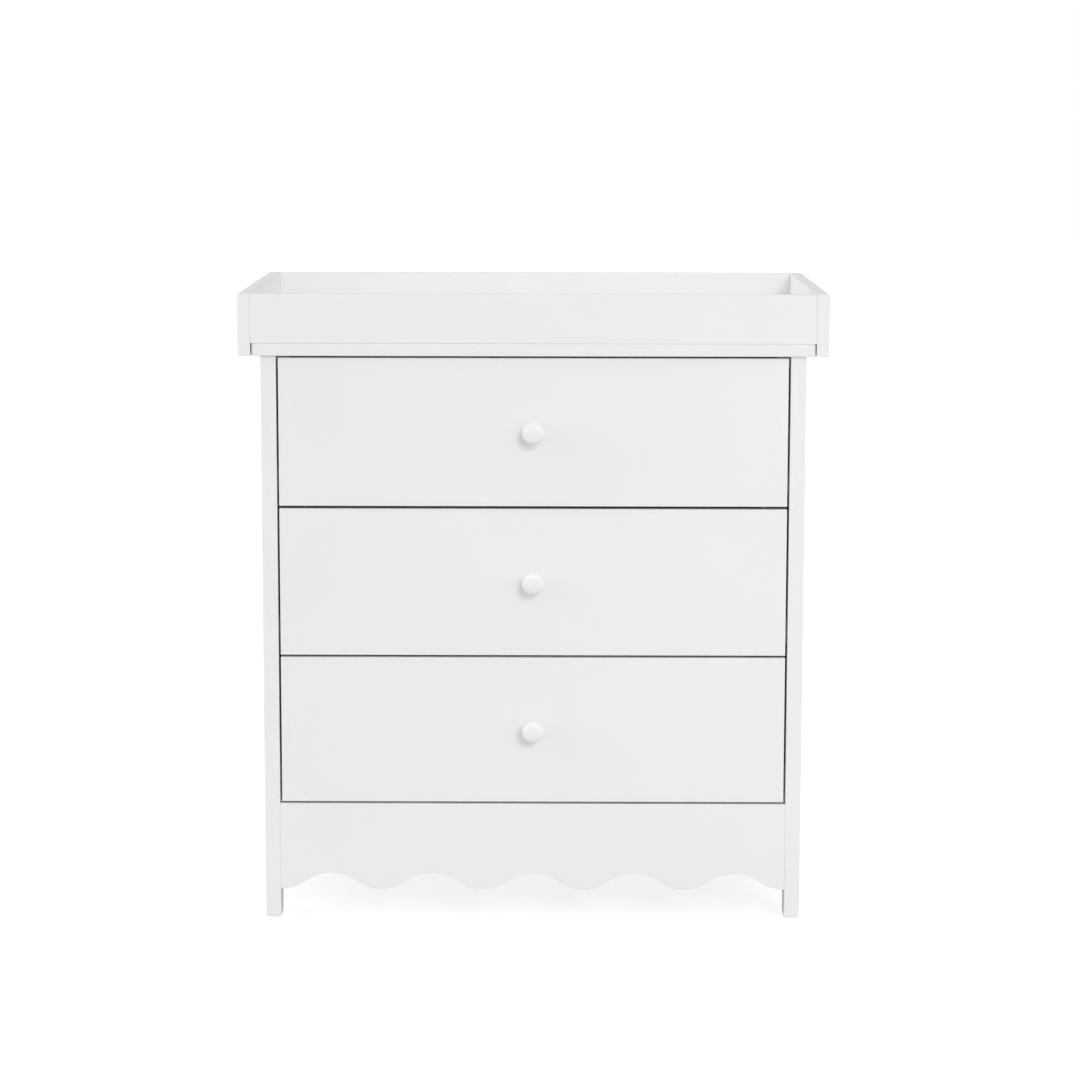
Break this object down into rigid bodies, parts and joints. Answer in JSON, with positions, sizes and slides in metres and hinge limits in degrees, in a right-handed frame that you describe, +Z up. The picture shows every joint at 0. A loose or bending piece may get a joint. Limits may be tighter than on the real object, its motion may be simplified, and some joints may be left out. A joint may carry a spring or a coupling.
{
  "type": "changing table",
  "caption": "White dresser with stacked full-width drawers, round knobs, a scalloped apron between square posts, and an open changing tray that lifts off its top.",
  "frame": {"origin": "on the floor, under the centre of the box around the whole object", "axes": "+Z up, drawers open towards -Y, +X to the right seen from the front"},
  "size_m": [0.85, 0.552, 0.92],
  "materials": {
    "painted_board": "satin white paint on fibreboard and solid wood",
    "drawer_board": "matt white foil on particle board",
    "white_sheet": "matt white lacquered hardboard",
    "knob_paint": "semi-gloss white paint on turned wood",
    "runner_steel": "white epoxy powder coat",
    "nylon": "natural white moulded nylon",
    "screw_steel": "bright zinc plated",
    "bracket_steel": "zinc plated sheet",
    "cam_zinc": "cast zinc",
    "dowel_wood": "plain fluted beech",
    "glide_plastic": "off-white moulded plastic"
  },
  "bodies": {
    "dresser": {"post_front_left": "painted_board", "post_front_right": "painted_board", "post_rear_left": "painted_board", "post_rear_right": "painted_board", "side_panel_left": "painted_board", "side_panel_right": "painted_board", "dresser_top": "painted_board", "back_panel": "white_sheet", "bottom_panel": "painted_board", "scalloped_apron": "painted_board", "rear_top_rail": "painted_board", "top_cleat_left": "painted_board", "top_cleat_right": "painted_board", "floor_glides": "glide_plastic", "carcass_dowels": "dowel_wood", "carcass_screws": "screw_steel", "cam_fittings": "cam_zinc", "cabinet_runners_1": "runner_steel", "cabinet_runners_2": "runner_steel", "cabinet_runners_3": "runner_steel"},
    "drawer_1": {"drawer_1_front": "painted_board", "drawer_1_side_left": "drawer_board", "drawer_1_side_right": "drawer_board", "drawer_1_back": "drawer_board", "drawer_1_bottom": "white_sheet", "drawer_1_knob": "knob_paint", "drawer_1_knob_screw": "screw_steel", "drawer_1_runners": "runner_steel", "drawer_1_screws": "screw_steel"},
    "cabinet_roller_pair_1": {"cabinet_rollers_1": "nylon"},
    "drawer_roller_pair_1": {"drawer_1_rollers": "nylon"},
    "drawer_2": {"drawer_2_front": "painted_board", "drawer_2_side_left": "drawer_board", "drawer_2_side_right": "drawer_board", "drawer_2_back": "drawer_board", "drawer_2_bottom": "white_sheet", "drawer_2_knob": "knob_paint", "drawer_2_knob_screw": "screw_steel", "drawer_2_runners": "runner_steel", "drawer_2_screws": "screw_steel"},
    "cabinet_roller_pair_2": {"cabinet_rollers_2": "nylon"},
    "drawer_roller_pair_2": {"drawer_2_rollers": "nylon"},
    "drawer_3": {"drawer_3_front": "painted_board", "drawer_3_side_left": "drawer_board", "drawer_3_side_right": "drawer_board", "drawer_3_back": "drawer_board", "drawer_3_bottom": "white_sheet", "drawer_3_knob": "knob_paint", "drawer_3_knob_screw": "screw_steel", "drawer_3_runners": "runner_steel", "drawer_3_screws": "screw_steel"},
    "cabinet_roller_pair_3": {"cabinet_rollers_3": "nylon"},
    "drawer_roller_pair_3": {"drawer_3_rollers": "nylon"},
    "changing_tray": {"tray_front": "painted_board", "tray_back": "painted_board", "tray_side_left": "painted_board", "tray_side_right": "painted_board", "tray_dowels": "dowel_wood", "tray_brackets": "bracket_steel", "tray_bracket_screws": "screw_steel"}
  },
  "joints": [
    {"name": "drawer_1_slide", "type": "slide", "parent": "dresser", "child": "drawer_1", "axis": [0, -1, 0], "range_m": [0, 0.335]},
    {"name": "cabinet_roller_1_spin", "type": "hinge", "parent": "dresser", "child": "cabinet_roller_pair_1", "pos_m": [0, -0.219, 0.6406], "axis": [1, 0, 0], "continuous": true},
    {"name": "drawer_roller_1_spin", "type": "hinge", "parent": "drawer_1", "child": "drawer_roller_pair_1", "pos_m": [0, 0.205, 0.6406], "axis": [1, 0, 0], "continuous": true},
    {"name": "drawer_2_slide", "type": "slide", "parent": "dresser", "child": "drawer_2", "axis": [0, -1, 0], "range_m": [0, 0.335]},
    {"name": "cabinet_roller_2_spin", "type": "hinge", "parent": "dresser", "child": "cabinet_roller_pair_2", "pos_m": [0, -0.219, 0.4215], "axis": [1, 0, 0], "continuous": true},
    {"name": "drawer_roller_2_spin", "type": "hinge", "parent": "drawer_2", "child": "drawer_roller_pair_2", "pos_m": [0, 0.205, 0.4215], "axis": [1, 0, 0], "continuous": true},
    {"name": "drawer_3_slide", "type": "slide", "parent": "dresser", "child": "drawer_3", "axis": [0, -1, 0], "range_m": [0, 0.335]},
    {"name": "cabinet_roller_3_spin", "type": "hinge", "parent": "dresser", "child": "cabinet_roller_pair_3", "pos_m": [0, -0.219, 0.203], "axis": [1, 0, 0], "continuous": true},
    {"name": "drawer_roller_3_spin", "type": "hinge", "parent": "drawer_3", "child": "drawer_roller_pair_3", "pos_m": [0, 0.205, 0.203], "axis": [1, 0, 0], "continuous": true},
    {"name": "tray_lift", "type": "slide", "parent": "dresser", "child": "changing_tray", "axis": [0, 0, 1], "range_m": [0, 0.2]}
  ],
  "couplings": [
    {"joint": "cabinet_roller_1_spin", "follows": "drawer_1_slide", "rad_per_m": 100},
    {"joint": "drawer_roller_1_spin", "follows": "drawer_1_slide", "rad_per_m": 100},
    {"joint": "cabinet_roller_2_spin", "follows": "drawer_2_slide", "rad_per_m": 100},
    {"joint": "drawer_roller_2_spin", "follows": "drawer_2_slide", "rad_per_m": 100},
    {"joint": "cabinet_roller_3_spin", "follows": "drawer_3_slide", "rad_per_m": 100},
    {"joint": "drawer_roller_3_spin", "follows": "drawer_3_slide", "rad_per_m": 100}
  ]
}
